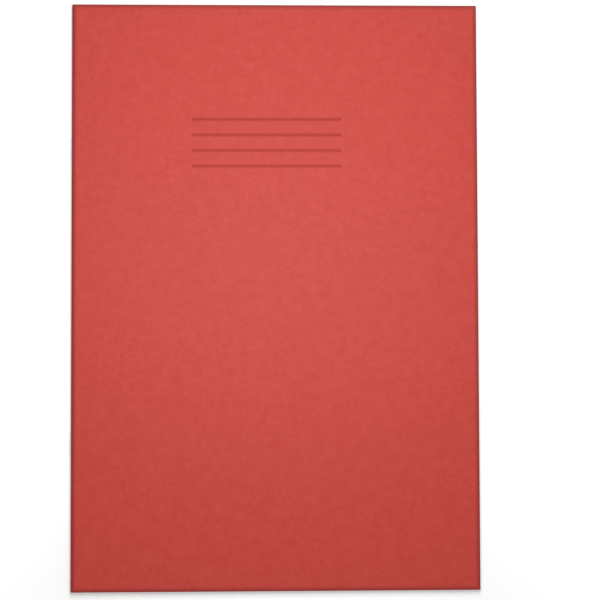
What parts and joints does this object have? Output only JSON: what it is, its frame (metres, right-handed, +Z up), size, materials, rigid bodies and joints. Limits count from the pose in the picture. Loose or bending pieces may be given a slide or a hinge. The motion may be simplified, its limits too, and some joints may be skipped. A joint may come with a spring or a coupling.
{
  "type": "exercise book",
  "caption": "Closed exercise book: folded ruled sheets in a plain red card cover, wire-stapled through the spine; the cover and the leaves open on the fold.",
  "frame": {"origin": "under the middle of the closed book, on the outer face of the back cover", "axes": "+X from the spine to the fore edge, +Y from tail to head, +Z up out of the front cover"},
  "size_m": [0.2294, 0.33, 0.0039],
  "materials": {
    "cover_card": "matte",
    "page_paper": "matte",
    "staple_wire": "satin"
  },
  "bodies": {
    "back_cover": {"back_cover": "cover_card"},
    "spine": {"cover_spine": "cover_card", "sheet_01_fold": "page_paper", "sheet_02_fold": "page_paper", "sheet_03_fold": "page_paper", "sheet_04_fold": "page_paper", "sheet_05_fold": "page_paper", "sheet_06_fold": "page_paper", "sheet_07_fold": "page_paper", "sheet_08_fold": "page_paper", "sheet_09_fold": "page_paper", "sheet_10_fold": "page_paper", "head_staple": "staple_wire", "tail_staple": "staple_wire"},
    "front_cover": {"front_cover": "cover_card"},
    "sheet_01_back": {"sheet_01_back_leaf": "page_paper"},
    "sheet_01_front": {"sheet_01_front_leaf": "page_paper"},
    "sheet_02_back": {"sheet_02_back_leaf": "page_paper"},
    "sheet_02_front": {"sheet_02_front_leaf": "page_paper"},
    "sheet_03_back": {"sheet_03_back_leaf": "page_paper"},
    "sheet_03_front": {"sheet_03_front_leaf": "page_paper"},
    "sheet_04_back": {"sheet_04_back_leaf": "page_paper"},
    "sheet_04_front": {"sheet_04_front_leaf": "page_paper"},
    "sheet_05_back": {"sheet_05_back_leaf": "page_paper"},
    "sheet_05_front": {"sheet_05_front_leaf": "page_paper"},
    "sheet_06_back": {"sheet_06_back_leaf": "page_paper"},
    "sheet_06_front": {"sheet_06_front_leaf": "page_paper"},
    "sheet_07_back": {"sheet_07_back_leaf": "page_paper"},
    "sheet_07_front": {"sheet_07_front_leaf": "page_paper"},
    "sheet_08_back": {"sheet_08_back_leaf": "page_paper"},
    "sheet_08_front": {"sheet_08_front_leaf": "page_paper"},
    "sheet_09_back": {"sheet_09_back_leaf": "page_paper"},
    "sheet_09_front": {"sheet_09_front_leaf": "page_paper"},
    "sheet_10_back": {"sheet_10_back_leaf": "page_paper"},
    "sheet_10_front": {"sheet_10_front_leaf": "page_paper"}
  },
  "joints": [
    {"name": "sheet_01_back_leaf_turn", "type": "hinge", "parent": "back_cover", "child": "sheet_01_back", "pos_m": [-0.1124, 0, 0.00195], "axis": [0, -1, 0], "range_deg": [0, 1.2]},
    {"name": "book_opening", "type": "hinge", "parent": "sheet_01_back", "child": "sheet_01_front", "pos_m": [-0.1124, 0, 0.00195], "axis": [0, -1, 0], "range_deg": [0, 178.8], "deforming": ["cover_spine", "sheet_01_fold", "sheet_02_fold", "sheet_03_fold", "sheet_04_fold", "sheet_05_fold", "sheet_06_fold", "sheet_07_fold", "sheet_08_fold", "sheet_09_fold", "sheet_10_fold"]},
    {"name": "sheet_02_back_leaf_turn", "type": "hinge", "parent": "back_cover", "child": "sheet_02_back", "pos_m": [-0.1124, 0, 0.00195], "axis": [0, -1, 0], "range_deg": [0, 2.4]},
    {"name": "sheet_02_front_leaf_turn", "type": "hinge", "parent": "sheet_02_back", "child": "sheet_02_front", "pos_m": [-0.1124, 0, 0.00195], "axis": [0, -1, 0], "range_deg": [0, 175.2]},
    {"name": "sheet_03_back_leaf_turn", "type": "hinge", "parent": "back_cover", "child": "sheet_03_back", "pos_m": [-0.1124, 0, 0.00195], "axis": [0, -1, 0], "range_deg": [0, 3.6]},
    {"name": "sheet_03_front_leaf_turn", "type": "hinge", "parent": "sheet_03_back", "child": "sheet_03_front", "pos_m": [-0.1124, 0, 0.00195], "axis": [0, -1, 0], "range_deg": [0, 172.8]},
    {"name": "sheet_04_back_leaf_turn", "type": "hinge", "parent": "back_cover", "child": "sheet_04_back", "pos_m": [-0.1124, 0, 0.00195], "axis": [0, -1, 0], "range_deg": [0, 4.8]},
    {"name": "sheet_04_front_leaf_turn", "type": "hinge", "parent": "sheet_04_back", "child": "sheet_04_front", "pos_m": [-0.1124, 0, 0.00195], "axis": [0, -1, 0], "range_deg": [0, 170.4]},
    {"name": "sheet_05_back_leaf_turn", "type": "hinge", "parent": "back_cover", "child": "sheet_05_back", "pos_m": [-0.1124, 0, 0.00195], "axis": [0, -1, 0], "range_deg": [0, 6]},
    {"name": "sheet_05_front_leaf_turn", "type": "hinge", "parent": "sheet_05_back", "child": "sheet_05_front", "pos_m": [-0.1124, 0, 0.00195], "axis": [0, -1, 0], "range_deg": [0, 168]},
    {"name": "sheet_06_back_leaf_turn", "type": "hinge", "parent": "back_cover", "child": "sheet_06_back", "pos_m": [-0.1124, 0, 0.00195], "axis": [0, -1, 0], "range_deg": [0, 7.2]},
    {"name": "sheet_06_front_leaf_turn", "type": "hinge", "parent": "sheet_06_back", "child": "sheet_06_front", "pos_m": [-0.1124, 0, 0.00195], "axis": [0, -1, 0], "range_deg": [0, 165.6]},
    {"name": "sheet_07_back_leaf_turn", "type": "hinge", "parent": "back_cover", "child": "sheet_07_back", "pos_m": [-0.1124, 0, 0.00195], "axis": [0, -1, 0], "range_deg": [0, 8.4]},
    {"name": "sheet_07_front_leaf_turn", "type": "hinge", "parent": "sheet_07_back", "child": "sheet_07_front", "pos_m": [-0.1124, 0, 0.00195], "axis": [0, -1, 0], "range_deg": [0, 163.2]},
    {"name": "sheet_08_back_leaf_turn", "type": "hinge", "parent": "back_cover", "child": "sheet_08_back", "pos_m": [-0.1124, 0, 0.00195], "axis": [0, -1, 0], "range_deg": [0, 9.6]},
    {"name": "sheet_08_front_leaf_turn", "type": "hinge", "parent": "sheet_08_back", "child": "sheet_08_front", "pos_m": [-0.1124, 0, 0.00195], "axis": [0, -1, 0], "range_deg": [0, 160.8]},
    {"name": "sheet_09_back_leaf_turn", "type": "hinge", "parent": "back_cover", "child": "sheet_09_back", "pos_m": [-0.1124, 0, 0.00195], "axis": [0, -1, 0], "range_deg": [0, 10.8]},
    {"name": "sheet_09_front_leaf_turn", "type": "hinge", "parent": "sheet_09_back", "child": "sheet_09_front", "pos_m": [-0.1124, 0, 0.00195], "axis": [0, -1, 0], "range_deg": [0, 158.4]},
    {"name": "sheet_10_back_leaf_turn", "type": "hinge", "parent": "back_cover", "child": "sheet_10_back", "pos_m": [-0.1124, 0, 0.00195], "axis": [0, -1, 0], "range_deg": [0, 12]},
    {"name": "sheet_10_front_leaf_turn", "type": "hinge", "parent": "sheet_10_back", "child": "sheet_10_front", "pos_m": [-0.1124, 0, 0.00195], "axis": [0, -1, 0], "range_deg": [0, 156]},
    {"name": "spine_turn", "type": "hinge", "parent": "back_cover", "child": "spine", "pos_m": [-0.1124, 0, 0.00195], "axis": [0, -1, 0], "range_deg": [0, 90]},
    {"name": "front_cover_hinge", "type": "hinge", "parent": "sheet_01_front", "child": "front_cover", "pos_m": [-0.1124, 0, 0.00392], "axis": [0, -1, 0], "range_deg": [0, 180]}
  ],
  "couplings": [
    {"joint": "sheet_01_back_leaf_turn", "follows": "book_opening", "ratio": 0.0067114},
    {"joint": "sheet_02_back_leaf_turn", "follows": "book_opening", "ratio": 0.013423},
    {"joint": "sheet_02_front_leaf_turn", "follows": "book_opening", "ratio": 0.97987},
    {"joint": "sheet_03_back_leaf_turn", "follows": "book_opening", "ratio": 0.020134},
    {"joint": "sheet_03_front_leaf_turn", "follows": "book_opening", "ratio": 0.96644},
    {"joint": "sheet_04_back_leaf_turn", "follows": "book_opening", "ratio": 0.026846},
    {"joint": "sheet_04_front_leaf_turn", "follows": "book_opening", "ratio": 0.95302},
    {"joint": "sheet_05_back_leaf_turn", "follows": "book_opening", "ratio": 0.033557},
    {"joint": "sheet_05_front_leaf_turn", "follows": "book_opening", "ratio": 0.9396},
    {"joint": "sheet_06_back_leaf_turn", "follows": "book_opening", "ratio": 0.040268},
    {"joint": "sheet_06_front_leaf_turn", "follows": "book_opening", "ratio": 0.92617},
    {"joint": "sheet_07_back_leaf_turn", "follows": "book_opening", "ratio": 0.04698},
    {"joint": "sheet_07_front_leaf_turn", "follows": "book_opening", "ratio": 0.91275},
    {"joint": "sheet_08_back_leaf_turn", "follows": "book_opening", "ratio": 0.053691},
    {"joint": "sheet_08_front_leaf_turn", "follows": "book_opening", "ratio": 0.89933},
    {"joint": "sheet_09_back_leaf_turn", "follows": "book_opening", "ratio": 0.060403},
    {"joint": "sheet_09_front_leaf_turn", "follows": "book_opening", "ratio": 0.88591},
    {"joint": "sheet_10_back_leaf_turn", "follows": "book_opening", "ratio": 0.067114},
    {"joint": "sheet_10_front_leaf_turn", "follows": "book_opening", "ratio": 0.87248},
    {"joint": "spine_turn", "follows": "book_opening", "ratio": 0.50336}
  ]
}
